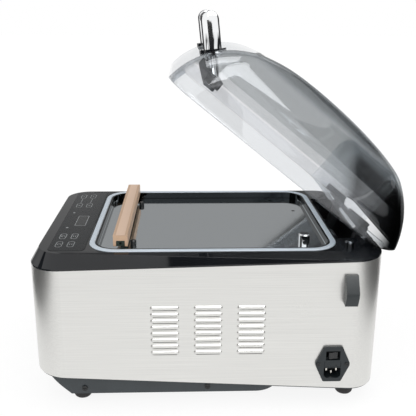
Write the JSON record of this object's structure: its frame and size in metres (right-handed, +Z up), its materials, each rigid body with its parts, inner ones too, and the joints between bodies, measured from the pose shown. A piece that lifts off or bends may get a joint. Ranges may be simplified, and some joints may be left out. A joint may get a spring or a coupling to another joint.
{
  "type": "chamber vacuum sealer",
  "caption": "Countertop chamber vacuum sealer: steel body, hinged smoky domed lid with a chrome handle, seal bar, gasketed chamber, side power inlet and cord hook",
  "frame": {"origin": "centre of the bounding box's base with the lid open, on the surface that the feet stand on", "axes": "+Z up, -Y is the front with the control panel, +X is the side with the power inlet and the cord hook; the lid opens about an axis along X at the rear"},
  "size_m": [0.362, 0.5199, 0.5401],
  "materials": {
    "bar_alu": "warm gold anodised",
    "bar_core": "dark green insulating core",
    "black_gloss": "piano black gloss",
    "black_plastic": "black moulded plastic",
    "black_rubber": "matte black",
    "board": "green circuit board",
    "brass": "plain",
    "cast": "cast",
    "chamber": "drawn steel pan, mirror-like floor",
    "chrome": "polished",
    "copper": "enamelled copper wire",
    "core": "lacquered laminations",
    "display": "smoked display window",
    "gasket": "pale blue-white silicone",
    "glass": "clear",
    "grey_steel": "grey",
    "hose": "translucent silicone hose",
    "pad": "dark silicone",
    "panel_film": null,
    "slate": "dark slate powder coat",
    "slate_plastic": "dark slate moulded plastic",
    "smoky": "smoky clear acrylic",
    "smoky_rim": "clear acrylic",
    "spring": "spring wire",
    "steel": "fine horizontal brush, satin",
    "strip": "nichrome strip",
    "tape": "coated glass-cloth tape",
    "zinc": "bright zinc"
  },
  "bodies": {
    "base": {"steel_wrap": "steel", "base_pan": "slate", "rubber_feet": "black_rubber", "foot_screws": "zinc", "base_screws": "zinc", "top_bezel": "black_gloss", "touch_panel": "panel_film", "display_window": "display", "chamber_pan": "chamber", "chamber_gasket": "gasket", "vacuum_nozzle": "chrome", "terminal_posts": "black_plastic", "bar_bladder": "black_rubber", "hinge_well": "black_plastic", "hinge_blocks": "grey_steel", "hinge_shaft": "chrome", "hinge_springs": "spring", "inlet_housing": "slate_plastic", "inlet_pins": "brass", "inlet_screws": "zinc", "cord_hook": "slate_plastic", "hook_screws": "zinc", "pump_mounts": "black_rubber", "pump_motor": "cast", "pump_head": "cast", "pump_cylinders": "cast", "transformer_core": "core", "transformer_coil": "copper", "control_board": "board", "board_standoffs": "brass", "board_parts": "black_plastic", "display_board": "board", "vacuum_valve": "black_plastic", "release_valve": "black_plastic", "vacuum_hose": "hose", "valve_hose": "hose", "pressure_sensor": "black_plastic", "fan_frame": "black_plastic", "fan_screws": "zinc", "lid_switch": "black_plastic"},
    "lid": {"lid_dome": "smoky", "lid_rim": "smoky_rim", "lid_bulkhead": "smoky_rim", "lid_rear_cover": "black_gloss", "hinge_arms": "grey_steel", "pressure_bar": "bar_alu", "pressure_pad": "pad", "handle_bases": "black_gloss", "lid_handle": "chrome"},
    "seal_bar": {"seal_bar": "bar_alu", "bar_core": "bar_core", "heat_strip": "strip", "bar_tape": "tape"},
    "rocker": {"rocker_switch": "black_plastic"},
    "drawer": {"fuse_drawer": "slate_plastic", "glass_fuse": "glass"},
    "cooling_fan": {"fan_rotor": "black_plastic"},
    "pump_shaft": {"pump_fan": "grey_steel"},
    "plunger": {"switch_plunger": "black_plastic"}
  },
  "joints": [
    {"name": "lid_hinge", "type": "hinge", "parent": "base", "child": "lid", "pos_m": [-0.007, 0.194, 0.18], "axis": [-1, 0, 0], "range_deg": [-39, 3]},
    {"name": "seal_bar_lift", "type": "slide", "parent": "base", "child": "seal_bar", "axis": [0, 0, 1], "range_m": [0, 0.006]},
    {"name": "power_rocker", "type": "hinge", "parent": "base", "child": "rocker", "pos_m": [0.16, 0.1576, 0.0811], "axis": [0, 0, 1], "range_deg": [-18, 0]},
    {"name": "fuse_drawer_slide", "type": "slide", "parent": "base", "child": "drawer", "axis": [1, 0, 0], "range_m": [0, 0.02]},
    {"name": "cooling_fan_spin", "type": "hinge", "parent": "base", "child": "cooling_fan", "pos_m": [0.145, -0.017, 0.1216], "axis": [1, 0, 0], "continuous": true},
    {"name": "pump_shaft_spin", "type": "hinge", "parent": "base", "child": "pump_shaft", "pos_m": [-0.052, 0.013, 0.088], "axis": [0, 1, 0], "continuous": true},
    {"name": "lid_switch_press", "type": "slide", "parent": "base", "child": "plunger", "axis": [0, 0, 1], "range_m": [-0.004, 0], "stiffness_N_per_m": 300}
  ]
}
